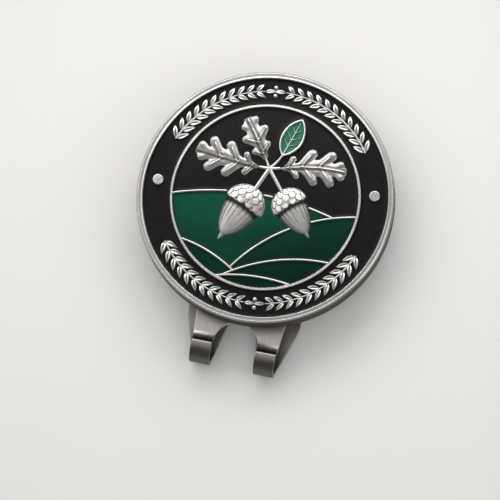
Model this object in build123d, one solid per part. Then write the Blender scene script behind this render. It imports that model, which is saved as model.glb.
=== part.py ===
from build123d import *
import os
from math import cos, radians, sin, tan

# A golf ball marker on its magnetic hat clip. Millimetres, +Z out of the marker's face,
# legs of the clip towards -Y, origin under the middle of the whole thing.

# ---- marker: the struck disc ----
marker_radius = 19.0
marker_thickness = 3.5
marker_turn = 6.7            # the marker's turn on its magnet, anticlockwise from the clip
face_bevel = 0.22            # outer edge of the rim
back_bevel = 0.35
struck_bevel = 0.1           # top edges of everything struck inside the rim
rim_width = 0.95
band_width = 3.95
ring_width = 0.45
recess_depth = 1.0           # rim top down to the floor of the cells
line_width = 0.36            # raised lines between the cells
line_drop = 0.08             # their tops below the rim's
stud_radius = 0.8
stud_bearing = 4.9           # above the level diameter, on each side
stud_drop = 0.1
stud_bevel = 0.25

# ---- enamel fills ----
enamel_depth = 0.45          # rim top down to the enamel
fill_clearance = 0.01

# Mounds of the ground, far to near: the crest's place across the field, its height above the
# foot of the field, and its radius. Each mound hides those before it.
mounds = {
    "far_mound": (-5.0, 14.15, 40.5),
    "right_mound": (15.0, 11.65, 25.0),
    "left_mound": (-17.0, 7.15, 20.5),
    "fore_mound": (7.0, 4.65, 25.0),
    "near_mound": (-2.0, 1.65, 26.0),
}

# The small leaf cell in the upper field
leaf_length = 5.6
leaf_width = 2.7
leaf_bearing = 70.0          # of its tip, seen from the middle of the field
leaf_inset = 1.1             # tip to ring
leaf_lean = 4.0

# ---- magnet ----
magnet_radius = 6.0
magnet_thickness = 1.2
magnet_bevel = 0.15
magnet_proud = 0.1           # magnet face above the head plate
glue_thickness = 0.1
cup_clearance = 0.15         # round the magnet
seat_gap = 0.02              # marker back above the magnet face

# ---- clip ----
sheet = 0.6
head_radius = 12.5
cup_mouth_bevel = 0.25
cup_base_radius = 0.9
curl_drop = 22.7             # curl axis below the marker's axis
brim_gap = 3.1               # head plate to tongue
leg_width = 3.0
leg_gap = 6.6
leg_flare = 4.0              # each leg's outer edge, in degrees
arch_drop = 21.9             # middle of the round arch between the legs
neck_fillet = 4.0
flare_radius = 2.1           # front face, where the legs swing forward
flare_angle = 48.0
crease_radius = 0.15         # back face, where the curl starts
tongue_width = 17.0
tongue_flat = 26.0           # flat run that lies against the brim
tongue_corner = 3.5
spread_start = 1.2           # below the curl's axis, where the rear legs start to spread
spread_fillet = 3.5
tongue_flare = 19.0          # rear legs' outer edges, in degrees
rear_arch_taper = 13.0
rear_arch_length = 6.6
rear_arch_corner = 1.5
nip_angle = 25.0
nip_radius = 2.0
nip_gap = 0.9                # nip ridge to head plate, unsprung
lip_angle = 20.0
lip_length = 1.6

# ---- worked out from the values above ----
rim_inner_radius = marker_radius - rim_width
ring_outer_radius = rim_inner_radius - band_width
field_radius = ring_outer_radius - ring_width
stud_circle_radius = (rim_inner_radius + ring_outer_radius) / 2
recess_floor = marker_thickness - recess_depth
enamel_top = marker_thickness - enamel_depth
cup_depth = magnet_thickness + glue_thickness - magnet_proud
cup_radius = magnet_radius + cup_clearance
leg_span = 2 * leg_width + leg_gap
flare_middle = flare_radius + sheet / 2
crease_middle = crease_radius + sheet / 2
curl_lift = (flare_middle + crease_middle) * (1 - cos(radians(flare_angle)))
curl_middle = (brim_gap + sheet + curl_lift) / 2
curl_radius = curl_middle + sheet / 2
curl_height = curl_lift - sheet / 2 - curl_middle
beyond_curl = curl_drop + 2 * curl_radius


def ring_section(inner, outer, bevel_in, bevel_out):
    """Half of a struck ring, from inside the disc up to the rim's height, edges bevelled."""
    top = marker_thickness
    return Polygon(
        (inner, recess_floor - recess_depth / 2),
        (outer, recess_floor - recess_depth / 2),
        (outer, top - bevel_out),
        (outer - bevel_out, top),
        (inner + bevel_in, top),
        (inner, top - bevel_in),
        align=None,
    )


def struck_disc():
    """The marker without what stands in its cells: disc, rim and inner ring, turned."""
    section = Polygon(
        (0, 0),
        (marker_radius - back_bevel, 0),
        (marker_radius, back_bevel),
        (marker_radius, recess_floor),
        (0, recess_floor),
        align=None,
    )
    section += ring_section(rim_inner_radius, marker_radius, struck_bevel, face_bevel)
    section += ring_section(field_radius, ring_outer_radius, struck_bevel, struck_bevel)
    return revolve(Plane.XZ * section, Axis.Z)


def mound_disc(name, growth=0.0):
    """The whole disc whose top edge is a mound's skyline."""
    across, height, radius = mounds[name]
    return Pos(across, height - field_radius - radius) * Circle(radius + growth)


def nearer(name):
    """The mounds in front of this one."""
    order = list(mounds)
    return order[order.index(name) + 1:]


def field(growth=0.0):
    return Circle(field_radius + growth)


def leaf_blade(growth=0.0):
    """The leaf cell: two equal arcs from base to tip, with its tip near the ring."""
    base, tip = (-leaf_length, 0), (0, 0)
    upper = ThreePointArc(base, (-leaf_length / 2, leaf_width / 2), tip)
    lower = ThreePointArc(tip, (-leaf_length / 2, -leaf_width / 2), base)
    blade = make_face(Wire([upper, lower]))
    if growth:
        blade = offset(blade, growth)
    tip_place = Rot(0, 0, leaf_bearing) * Pos(field_radius - leaf_inset, 0)
    return tip_place * Rot(0, 0, -leaf_lean) * blade


def skyline(name):
    """A mound's raised line: a narrow ring, cut off by the field and by nearer mounds."""
    half = line_width / 2
    line = mound_disc(name, half) - mound_disc(name, -half)
    for other in nearer(name):
        line -= mound_disc(other)
    return line & field(line_width / 2)


def raised(face, drop):
    """A struck shape, from just inside the disc to its own height below the rim's."""
    base = recess_floor - recess_depth / 2
    return extrude(Pos(0, 0, base) * face, marker_thickness - drop - base)


def stud_places():
    """Where the two studs stand in the band."""
    for bearing in (stud_bearing, 180 - stud_bearing):
        yield Rot(0, 0, bearing) * Pos(stud_circle_radius, 0)


def stud():
    section = Polygon(
        (0, recess_floor - recess_depth / 2),
        (stud_radius, recess_floor - recess_depth / 2),
        (stud_radius, marker_thickness - stud_drop - stud_bevel),
        (stud_radius - stud_bevel, marker_thickness - stud_drop),
        (0, marker_thickness - stud_drop),
        align=None,
    )
    return revolve(Plane.XZ * section, Axis.Z)


def marker_body():
    body = struck_disc()
    for name in mounds:
        body += raised(skyline(name), line_drop)
    leaf_wall = leaf_blade(line_width) - leaf_blade()
    body += raised(leaf_wall, line_drop)
    for place in stud_places():
        body += place * stud()
    return body


def fill(face):
    """Enamel poured on the cell's floor."""
    return extrude(Pos(0, 0, recess_floor) * face, enamel_top - recess_floor)


def band_fill():
    face = Circle(rim_inner_radius - fill_clearance) - Circle(ring_outer_radius + fill_clearance)
    for place in stud_places():
        face -= place * Circle(stud_radius + fill_clearance)
    return fill(face)


def sky_fill():
    face = field(-fill_clearance) - leaf_blade(line_width + fill_clearance)
    for name in mounds:
        face -= mound_disc(name, line_width / 2 + fill_clearance)
    return fill(face)


def mound_fill(name):
    face = field(-fill_clearance) & mound_disc(name, -line_width / 2 - fill_clearance)
    for other in nearer(name):
        face -= mound_disc(other, line_width / 2 + fill_clearance)
    return fill(face)


def leaf_fill():
    return fill(leaf_blade(-fill_clearance))


def strip_side(start, heading, moves, side):
    """One side of the bent strip, offset from its middle line: runs and tangent arcs."""
    point = Vector(*start) + Vector(0, side * sheet / 2).rotate(Axis.Z, heading)
    edges = []
    for move, size, turn in moves:
        if move == "run":
            arrival = point + Vector(size, 0).rotate(Axis.Z, heading)
            edges.append(Line(point, arrival))
        else:
            way = 1 if turn > 0 else -1
            radius = size - side * way * sheet / 2
            centre = point + Vector(0, way * radius).rotate(Axis.Z, heading)
            halfway = centre + (point - centre).rotate(Axis.Z, turn / 2)
            arrival = centre + (point - centre).rotate(Axis.Z, turn)
            edges.append(ThreePointArc(point, halfway, arrival))
            heading += turn
        point = arrival
    return edges


def nip_run():
    """The slope from the tongue's flat up to the nip ridge, between its two bends."""
    bends = 2 * nip_radius * (1 - cos(radians(nip_angle)))
    return (brim_gap - nip_gap - bends) / sin(radians(nip_angle))


def tongue_end():
    """How far the tongue reaches, seen from above."""
    nip, lip = radians(nip_angle), radians(lip_angle)
    bends = nip_radius * (2 * sin(nip) + sin(lip))
    return tongue_flat - curl_drop + nip_run() * cos(nip) + bends + lip_length * cos(lip)


def bent_strip(start, heading, moves):
    """The clip's sheet at full width, bent along its middle line."""
    left = strip_side(start, heading, moves, 1)
    right = strip_side(start, heading, moves, -1)
    ends = [Line(left[0] @ 0, right[0] @ 0), Line(left[-1] @ 1, right[-1] @ 1)]
    section = make_face(Wire([*left, *right, *ends]))
    return extrude(Plane.YZ * section, head_radius, both=True)


def front_strip():
    """From the head's far edge down the legs to the lowest point of the curls."""
    flare_reach = (flare_middle + crease_middle) * sin(radians(flare_angle))
    moves = [
        ("run", head_radius + curl_drop - flare_reach, 0),
        ("bend", flare_middle, -flare_angle),
        ("bend", crease_middle, flare_angle),
        ("bend", curl_middle, 90),
    ]
    return bent_strip((head_radius, -sheet / 2), 180, moves)


def rear_strip():
    """From the lowest point of the curls back up the tongue to the nip ridge and the lip."""
    moves = [
        ("bend", curl_middle, 90),
        ("run", tongue_flat, 0),
        ("bend", nip_radius, nip_angle),
        ("run", nip_run(), 0),
        ("bend", nip_radius, -nip_angle - lip_angle),
        ("run", lip_length + sheet, 0),
    ]
    return bent_strip((-curl_drop - curl_middle, curl_height), 270, moves)


def leg_slot(top):
    """The straight slot between the legs, from a height down past the curls."""
    return Pos(0, (top - beyond_curl) / 2) * Rectangle(leg_gap, top + beyond_curl)


def front_outline():
    """The blank in front: round head, tapering neck, two legs and the arch between them."""
    neck_width = leg_span + 2 * curl_drop * tan(radians(leg_flare))
    neck = Polygon(
        (-neck_width / 2, 0),
        (-leg_span / 2, -curl_drop),
        (-leg_span / 2, -beyond_curl),
        (leg_span / 2, -beyond_curl),
        (leg_span / 2, -curl_drop),
        (neck_width / 2, 0),
        align=None,
    )
    outline = Circle(head_radius) + neck
    on_rim = [v for v in outline.vertices() if abs(Vector(v).length - head_radius) < sheet]
    outline = fillet([v for v in on_rim if v.Y < 0], neck_fillet)
    return outline - leg_slot(-arch_drop) - Pos(0, -arch_drop) * Circle(leg_gap / 2)


def rear_outline():
    """The blank behind: the legs spread again into a broad round-ended tongue."""
    start = -curl_drop - spread_start
    spread = (tongue_width - leg_span) / 2 / tan(radians(tongue_flare))
    outline = Polygon(
        (-leg_span / 2, -beyond_curl),
        (leg_span / 2, -beyond_curl),
        (leg_span / 2, start),
        (tongue_width / 2, start + spread),
        (tongue_width / 2, tongue_end()),
        (-tongue_width / 2, tongue_end()),
        (-tongue_width / 2, start + spread),
        (-leg_span / 2, start),
        align=None,
    )
    outline = fillet(outline.vertices().sort_by(Axis.Y)[4:6], spread)
    outline = fillet(outline.vertices().sort_by(Axis.Y)[2:4], spread_fillet)
    outline = fillet(outline.vertices().sort_by(Axis.Y)[-2:], tongue_corner)
    arch_top = leg_gap - 2 * rear_arch_length * tan(radians(rear_arch_taper))
    arch = Polygon(
        (-leg_gap / 2, start),
        (leg_gap / 2, start),
        (arch_top / 2, start + rear_arch_length),
        (-arch_top / 2, start + rear_arch_length),
        align=None,
    )
    arch = fillet(arch.vertices().sort_by(Axis.Y)[-2:], rear_arch_corner)
    return outline - arch - leg_slot(start)


def magnet_cup():
    """The cup drawn down from the head plate, as a turned section that fills the plate's hole."""
    inner, outer = cup_radius, cup_radius + sheet
    section = Polygon(
        (0, -cup_depth - sheet),
        (outer, -cup_depth - sheet),
        (outer, 0),
        (inner, 0),
        (inner, -cup_depth),
        (0, -cup_depth),
        align=None,
    )
    corners = section.vertices().sort_by(Axis.X)[-4:]
    mouth = [v for v in corners if v.X < outer and v.Y > -cup_depth / 2]
    base = [v for v in corners if v.X > inner and v.Y < -cup_depth]
    section = chamfer(mouth, cup_mouth_bevel)
    base = section.vertices().sort_by_distance(base[0])[0]
    section = fillet(base, cup_base_radius)
    return revolve(Plane.XZ * section, Axis.Z)


def trimmed(strip, outline):
    """A bent strip, cut from above to the blank's outline."""
    cutter = extrude(outline, beyond_curl, both=True)
    return strip & cutter


def clip_spring():
    clip = trimmed(front_strip(), front_outline()) + trimmed(rear_strip(), rear_outline())
    clip -= extrude(Pos(0, 0, -sheet) * Circle(cup_radius + sheet), sheet)
    return clip + magnet_cup()


def magnet():
    disc = Pos(0, 0, magnet_proud - magnet_thickness / 2) * Cylinder(magnet_radius, magnet_thickness)
    return chamfer(disc.edges().filter_by(GeomType.CIRCLE), magnet_bevel)


def glue():
    middle = magnet_proud - magnet_thickness - glue_thickness / 2
    return Pos(0, 0, middle) * Cylinder(magnet_radius - magnet_bevel, glue_thickness)


def pieces():
    """Every node by name, in the clip's frame: head plate's front at z = 0."""
    on_magnet = Pos(0, 0, magnet_proud + seat_gap) * Rot(0, 0, marker_turn)
    found = {
        "marker_body": on_magnet * marker_body(),
        "band_enamel": on_magnet * band_fill(),
        "sky_enamel": on_magnet * sky_fill(),
        "leaf_enamel": on_magnet * leaf_fill(),
        "clip_spring": clip_spring(),
        "magnet": magnet(),
        "magnet_adhesive": glue(),
    }
    for name in mounds:
        found[name + "_enamel"] = on_magnet * mound_fill(name)
    return found


os.makedirs("parts", exist_ok=True)
nodes = pieces()
boxes = [solid.bounding_box() for solid in nodes.values()]
front_edge = min(box.min.Y for box in boxes)
back_edge = max(box.max.Y for box in boxes)
lowest = min(box.min.Z for box in boxes)
to_origin = Pos(0, -(front_edge + back_edge) / 2, -lowest)
for node, solid in nodes.items():
    export_step(to_origin * solid, f"parts/{node}.step")
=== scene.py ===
"""Golf ball marker on its magnetic hat clip: the looks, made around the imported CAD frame.

The marker's surfaces are worked out in the marker's own millimetres: the middle of its back is
the origin and its face looks up. They are then turned a little and set down on the clip. The
clip's sheet is worked out flat, as a blank, and bent along the strip.
"""
from math import cos, pi, radians, sin, tan

import bmesh
import bpy
import numpy as np
from mathutils import Matrix, Vector
from mathutils.geometry import delaunay_2d_cdt


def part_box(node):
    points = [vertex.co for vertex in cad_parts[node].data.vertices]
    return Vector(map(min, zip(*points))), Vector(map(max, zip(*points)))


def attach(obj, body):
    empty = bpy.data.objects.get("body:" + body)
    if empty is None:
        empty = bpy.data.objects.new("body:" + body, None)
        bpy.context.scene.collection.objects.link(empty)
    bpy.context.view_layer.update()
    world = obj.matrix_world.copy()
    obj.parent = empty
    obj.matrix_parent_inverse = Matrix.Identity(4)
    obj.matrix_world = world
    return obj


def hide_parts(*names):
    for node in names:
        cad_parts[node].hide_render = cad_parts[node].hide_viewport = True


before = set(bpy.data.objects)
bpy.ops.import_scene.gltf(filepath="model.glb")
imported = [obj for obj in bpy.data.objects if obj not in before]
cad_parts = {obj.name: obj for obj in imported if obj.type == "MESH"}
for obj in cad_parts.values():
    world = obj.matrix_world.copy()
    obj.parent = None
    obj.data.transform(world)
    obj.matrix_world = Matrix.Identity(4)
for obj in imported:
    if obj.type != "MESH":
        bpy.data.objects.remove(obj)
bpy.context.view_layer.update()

MM = 0.001

# ---- where the frame puts things, in millimetres ----
body_low, body_high = (np.array(corner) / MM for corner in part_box("marker_body"))
clip_high = np.array(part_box("clip_spring")[1]) / MM
marker_place = np.array([0.0, (body_low[1] + body_high[1]) / 2, body_low[2]])
MARKER_TURN = radians(6.7)

# ---- the struck marker ----
RIM_OUT, RIM_IN = 19.0, 18.05
RING_OUT, FIELD = 14.1, 13.65
THICK, FLOOR, FILL = 3.5, 2.5, 3.05
LINE_WIDE, LINE_TOP = 0.36, 3.42
STUD_CIRCLE, STUD_BEARING = 16.075, radians(4.9)
MOUNDS = {                   # top across and above the field's foot, and radius; farthest first
    "far_mound": (-5.0, 14.15, 40.5),
    "right_mound": (15.0, 11.65, 25.0),
    "left_mound": (-17.0, 7.15, 20.5),
    "fore_mound": (7.0, 4.65, 25.0),
    "near_mound": (-2.0, 1.65, 26.0),
}
ROOT = FLOOR - 0.08          # how deep a raised piece is rooted in the disc
FILL_BASE = FLOOR - 0.02     # how deep the enamel reaches
CLEAR = 0.01                 # enamel to its walls
EDGE = 0.11                  # bevel along the struck inner edges
LINE_ARCH = 0.14             # rise of a raised line's rounded top
CARVED_TOP = 3.49            # no carving is higher
DARK_BELOW = 3.2             # the sides of raised work take painted shade below this height
MILL_IN, MILL_OUT = 18.25, 18.70     # between these the rim's top is milled
# the leaf cell: bearing of its tip, inset from the ring, lean, and size of its blade
LEAF_TIP, LEAF_INSET, LEAF_LEAN = radians(70.0), 1.1, radians(4.0)
LEAF_LONG, LEAF_WIDE = 5.6, 2.7

# ---- the bent clip ----
SHEET = 0.6
SHEARED, DRAWN = 0.09, 0.20  # rounding of the sheet's cut edges and of the cup's mouth
BEND_STEP = 5                # degrees between stations round a bend
HEAD = 12.5
CURL_DROP, BRIM_GAP = 22.7, 3.1
LEG_WIDE, LEG_GAP, LEG_FLARE = 3.0, 6.6, radians(4.0)
ARCH_DROP, NECK_ROUND = 21.9, 4.0
# a bend's radius is that of the sheet's middle; turns are in degrees
FLARE_BEND, FLARE_TURN, CREASE_BEND = 2.1 + SHEET / 2, 48.0, 0.15 + SHEET / 2
TONGUE_WIDE, TONGUE_FLAT, TONGUE_ROUND, TONGUE_FLARE = 17.0, 26.0, 3.5, radians(19.0)
SPREAD_START, SPREAD_ROUND = 1.2, 3.5
REAR_TAPER, REAR_ARCH, REAR_ROUND = radians(13.0), 6.6, 1.5
NIP_TURN, NIP_BEND, NIP_GAP = 25.0, 2.0, 0.9
LIP_TURN, LIP_LONG = 20.0, 1.6
CUP_IN, CUP_DEEP = 6.15, 1.2
# how far the flares stand in front of the head, and what the other bends come to
curl_lift = (FLARE_BEND + CREASE_BEND) * (1 - cos(radians(FLARE_TURN)))
curl_bend = (BRIM_GAP + SHEET + curl_lift) / 2
nip_bends = 2 * NIP_BEND * (1 - cos(radians(NIP_TURN)))
nip_run = (BRIM_GAP - NIP_GAP - nip_bends) / sin(radians(NIP_TURN))
tongue_end = (TONGUE_FLAT - CURL_DROP + nip_run * cos(radians(NIP_TURN))
              + NIP_BEND * (2 * sin(radians(NIP_TURN)) + sin(radians(LIP_TURN)))
              + LIP_LONG * cos(radians(LIP_TURN)))
# each body's turn and shift: the marker from the middle of its back, the clip from the middle
# of the head plate's front face
PLACES = {"marker": (MARKER_TURN, marker_place),
          "clip": (0.0, np.array([0.0, marker_place[1], clip_high[2] - curl_lift]))}


# ======== Making meshes ========

def grid_faces(rows, cols, wrap_cols=False, wrap_rows=False):
    """Quads between neighbouring rows and columns; a wrap joins the last to the first."""
    index = np.arange(rows * cols).reshape(rows, cols)
    if wrap_cols:
        index = np.hstack([index, index[:, :1]])
    if wrap_rows:
        index = np.vstack([index, index[:1]])
    corners = [index[:-1, :-1], index[:-1, 1:], index[1:, 1:], index[1:, :-1]]
    return np.stack(corners, -1).reshape(-1, 4).tolist()


def skin(points, faces, uv, polish_and_painted_light, painted_shade):
    """One surface: points, faces, a flat map, how polished each point is (painted light on the
    enamel fills), and how much painted shade darkens it.
    """
    points = np.asarray(points, float).reshape(-1, 3)
    uv = points[:, :2] * 0.1 if uv is None else np.asarray(uv, float).reshape(-1, 2)
    marks = [np.broadcast_to(np.ravel(mark), len(points)) for mark in (polish_and_painted_light, painted_shade)]
    return {"points": points, "faces": faces, "uv": uv, "polish_and_painted_light": marks[0], "painted_shade": marks[1]}


def ray(angle):
    """The direction at an angle, or at each of many: cosine across and sine up."""
    return np.stack([np.cos(angle), np.sin(angle)], -1)


def left_of(way):
    """Directions a quarter turn to the left of these."""
    return np.stack([-way[..., 1], way[..., 0]], -1)


def eased(count):
    """Shares from 0 to 1, closer together towards both ends."""
    return (1 - np.cos(np.linspace(0, pi, count))) / 2


def clamp(value):
    """The value, held between 0 and 1."""
    return np.clip(value, 0, 1)


def bell(off, width):
    """1 on the middle line, falling off to either side: e to the minus (off / width) squared."""
    return np.exp(-(off / width) ** 2)


def arched():
    """Half a circle from 1 across to -1, with an upright at each end: across, then up."""
    turn = np.linspace(0, pi, 9)
    return np.r_[1.0, np.cos(turn), -1.0], np.r_[0.0, np.sin(turn), 0.0]


def moved(part, turn, shift):
    """The same surface, turned about Z and then shifted."""
    c, s = cos(turn), sin(turn)
    rotation = np.array([[c, -s, 0], [s, c, 0], [0, 0, 1]])
    return dict(part, points=part["points"] @ rotation.T + np.asarray(shift, float))


def in_scene(name, data):
    """A new object in the scene, holding a mesh, a lamp or a camera."""
    holder = bpy.data.objects.new(name, data)
    bpy.context.scene.collection.objects.link(holder)
    return holder


def build_piece(name, skins, body, slot, finish, stands_for=(), normals=None):
    """Writes surfaces into one mesh at the body's place in the frame, welds seams and poles, and
    turns every face outwards. Given normals, the mesh is kept and takes those instead."""
    skins = [moved(part, *PLACES[body]) for part in skins]
    points = np.vstack([part["points"] for part in skins]) * MM
    starts = np.cumsum([0] + [len(part["points"]) for part in skins])
    faces = [[corner + int(start) for corner in face]
             for part, start in zip(skins, starts) for face in part["faces"]]
    mesh = bpy.data.meshes.new(name)
    mesh.from_pydata(points.tolist(), [], faces)
    corner_points = np.zeros(len(mesh.loops), np.int32)
    mesh.loops.foreach_get("vertex_index", corner_points)
    flat_map = np.vstack([part["uv"] for part in skins])[corner_points]
    layer = mesh.uv_layers.new(name="surface")
    layer.data.foreach_set("uv", flat_map.ravel())
    for mark in ("polish_and_painted_light", "painted_shade"):
        values = np.concatenate([part[mark] for part in skins]).astype(np.float32)
        mesh.attributes.new(mark, "FLOAT", "POINT").data.foreach_set("value", values)
    if normals is None:
        tidy = bmesh.new()
        tidy.from_mesh(mesh)
        bmesh.ops.remove_doubles(tidy, verts=tidy.verts[:], dist=2e-7)
        bmesh.ops.dissolve_degenerate(tidy, edges=tidy.edges[:], dist=1e-8)
        bmesh.ops.recalc_face_normals(tidy, faces=tidy.faces[:])
        tidy.to_mesh(mesh)
        tidy.free()
    mesh.shade_smooth()
    if normals is None:
        mesh.set_sharp_from_angle(angle=radians(38))
    else:
        mesh.normals_split_custom_set_from_vertices(normals.tolist())
    mesh.materials.append(finish)
    piece = in_scene(name, mesh)
    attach(piece, body)
    if stands_for:
        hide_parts(*stands_for)


def unit(vectors):
    """Vectors scaled to length one."""
    vectors = np.asarray(vectors, float)
    return vectors / np.maximum(np.linalg.norm(vectors, axis=-1, keepdims=True), 1e-12)


def rounded(corners, steps, guard=0.012):
    """A profile from corners (a, b, radius): each corner becomes an arc tangent to both its
    sides, and a guard point just outside each end of the arc keeps the flats flat."""
    flat = np.array([corner[:2] for corner in corners], float)
    out = []
    for i, here in enumerate(flat):
        radius = corners[i][2]
        if radius == 0:
            out.append(here)
            continue
        back, ahead = unit(flat[i - 1] - here), unit(flat[i + 1] - here)
        half = np.arccos(np.clip(back @ ahead, -1, 1)) / 2
        reach = radius / np.tan(half)
        centre = here + unit(back + ahead) * radius / np.sin(half)
        start, stop = here + back * reach - centre, here + ahead * reach - centre
        sweep = pi - 2 * half
        share = np.linspace(0, 1, max(2, min(steps, int(radius / 0.016))) + 1)[:, None]
        arc = (start * np.sin((1 - share) * sweep) + stop * np.sin(share * sweep)) / np.sin(sweep)
        arc = centre + arc
        if guard:
            arc = [here + back * (reach + guard), *arc, here + ahead * (reach + guard)]
        out.extend(arc)
    return np.array(out)


def turned(profile, columns, closed=False, carve=None, polish_and_painted_light=0.0, painted_shade=0.0):
    """A profile of (radius, height) points spun round Z: x = r cos a, y = r sin a. carve adds
    to the height as a function of radius and angle. A closed profile makes a ring."""
    angle = np.linspace(0, 2 * pi, columns, endpoint=False)
    r, z = profile[:, :1], profile[:, 1:]
    height = z + np.zeros((1, columns))
    if carve is not None:
        height = height + carve(r, z, angle[None, :])
    points = np.stack([r * np.cos(angle), r * np.sin(angle), height], -1)
    along = np.concatenate([[0], np.cumsum(np.linalg.norm(np.diff(profile, axis=0), axis=1))])
    uv = np.stack(np.broadcast_arrays(angle[None, :] / (2 * pi), along[:, None] * 0.1), -1)
    spread = [np.repeat(np.broadcast_to(np.ravel(m), len(profile)), columns)
              for m in (polish_and_painted_light, painted_shade)]
    return skin(points, grid_faces(len(profile), columns, True, closed), uv, *spread)


def relief(points, base, polish_and_painted_light=0.0, painted_shade=0.0):
    """A sculpted patch closed into a solid: its border drops to the base, which is flat."""
    rows, cols = points.shape[:2]
    index = np.arange(rows * cols).reshape(rows, cols)
    border = np.concatenate([index[0, :-1], index[:-1, -1], index[-1, :0:-1], index[:0:-1, 0]])
    foot = points.reshape(-1, 3)[border].copy()
    foot[:, 2] = base
    low = rows * cols + np.arange(len(border))
    skirt = np.stack([border, np.roll(border, -1), np.roll(low, -1), low], -1).tolist()
    faces = grid_faces(rows, cols) + skirt + [low.tolist()]
    everything = np.vstack([points.reshape(-1, 3), foot])
    marks = []
    # the skirt down to the base takes full painted shade
    for mark, at_foot in ((polish_and_painted_light, 0.0), (painted_shade, 1.0)):
        top = np.broadcast_to(mark, (rows, cols)).ravel()
        marks.append(np.concatenate([top, np.full(len(border), at_foot)]))
    return dict(skin(everything, faces, None, *marks), outline=foot[:, :2])


def cut_relief(distance, height, low, high, cell, place, polish_and_painted_light, painted_shade):
    """A sculpted patch inside a free outline, closed into a solid. distance(u, v) is positive
    inside the outline; grid points near its zero line are moved onto it, so the border is
    smooth. height, polish and painted shade are functions of u, v and distance; place bends the
    flat (u, v) patch onto the field."""
    u, v = np.meshgrid(np.arange(low[0], high[0], cell), np.arange(low[1], high[1], cell),
                       indexing="ij")
    for _ in range(3):
        d = distance(u, v)
        step = 1e-3
        du = (distance(u + step, v) - distance(u - step, v)) / (2 * step)
        dv = (distance(u, v + step) - distance(u, v - step)) / (2 * step)
        steep = np.maximum(du ** 2 + dv ** 2, 0.05)
        near = np.abs(d) < 0.52 * cell * np.sqrt(steep)
        u, v = np.where(near, u - d * du / steep, u), np.where(near, v - d * dv / steep, v)
    d = np.where(near, 0.0, distance(u, v)).ravel()
    index = np.arange(u.size).reshape(u.shape)
    corner = np.stack([index[:-1, :-1], index[1:, :-1], index[1:, 1:], index[:-1, 1:]], -1)
    corner = corner.reshape(-1, 4)
    kept, reaches_in = d >= 0, d[corner].max(1) > 0
    faces = [[c for c in row if kept[c]] for sides in (4, 3)
             for row in corner[reaches_in & (kept[corner].sum(1) == sides)].tolist()]
    edges = dict.fromkeys(edge for face in faces for edge in zip(face, face[1:] + face[:1]))
    border = {a: b for a, b in edges if (b, a) not in edges}
    loops = []
    while border:
        a, loop = next(iter(border)), []
        while a in border:
            loop.append(a)
            a = border.pop(a)
        loops.append(loop)
    used = sorted({c for face in faces for c in face})
    renumber = {old: new for new, old in enumerate(used)}
    faces = [[renumber[c] for c in face] for face in faces]
    spots = u.ravel()[used], v.ravel()[used]
    points = np.column_stack([place(*spots), height(*spots, d[used])])
    marks = [clamp(mark(*spots, d[used])) for mark in (polish_and_painted_light, painted_shade)]
    outline = None
    for loop in sorted(loops, key=len, reverse=True):
        ring = np.array([renumber[c] for c in loop])
        foot = points[ring] * [1, 1, 0] + [0, 0, ROOT]
        below = len(points) + np.arange(len(ring))
        points = np.vstack([points, foot])
        faces += np.stack([np.roll(ring, -1), ring, below, np.roll(below, -1)], -1).tolist()
        faces.append(below[::-1].tolist())
        # the skirt takes full painted shade
        marks = [np.concatenate([marks[0], np.zeros(len(ring))]),
                 np.concatenate([marks[1], np.ones(len(ring))])]
        outline = foot[:, :2] if outline is None else outline
    return dict(skin(points, faces, None, *marks), outline=outline)


def to_cone(u, v, start, stop, wide_at_start, wide_at_stop):
    """How far points lie inside a tapered bar with round ends, and off its middle line."""
    way = np.array(stop, float) - start
    share = clamp(((u - start[0]) * way[0] + (v - start[1]) * way[1]) / (way @ way))
    off = np.hypot(u - start[0] - share * way[0], v - start[1] - share * way[1])
    return wide_at_start + (wide_at_stop - wide_at_start) * share - off, off, share


def melted(first, second, blend):
    """The union of two shapes with their inner corner filled by a round of this size."""
    h = clamp(0.5 + 0.5 * (first - second) / blend)
    return second + (first - second) * h + blend * h * (1 - h)


def bead(path, width, top, arch=LINE_ARCH):
    """A raised line: its section, upright sides under a low arch, is carried along the path
    square to it. Width and top height may change along the path."""
    side = left_of(unit(np.gradient(path, axis=0)))
    across, rise = (part[None, :] for part in arched())
    count, sections = len(path), rise.size
    width, top = (np.broadcast_to(size, count)[:, None] for size in (width, top))
    across = across * width / 2
    height = top - arch + arch * rise
    height[:, 0] = height[:, -1] = ROOT
    points = np.dstack([path[:, None, :] + side[:, None, :] * across[..., None], height])
    index = np.arange(count * sections).reshape(count, sections)
    under = np.stack([index[:-1, 0], index[1:, 0], index[1:, -1], index[:-1, -1]], -1)
    faces = (grid_faces(count, sections) + [index[0].tolist(), index[-1].tolist()]
             + under.tolist())
    # the arched top is polished; the sides take painted shade
    shine = np.broadcast_to(clamp(rise * 1.2), (count, sections))
    return skin(points, faces, None, shine * 0.7, 1 - shine)


# ======== Finishes ========

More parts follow.
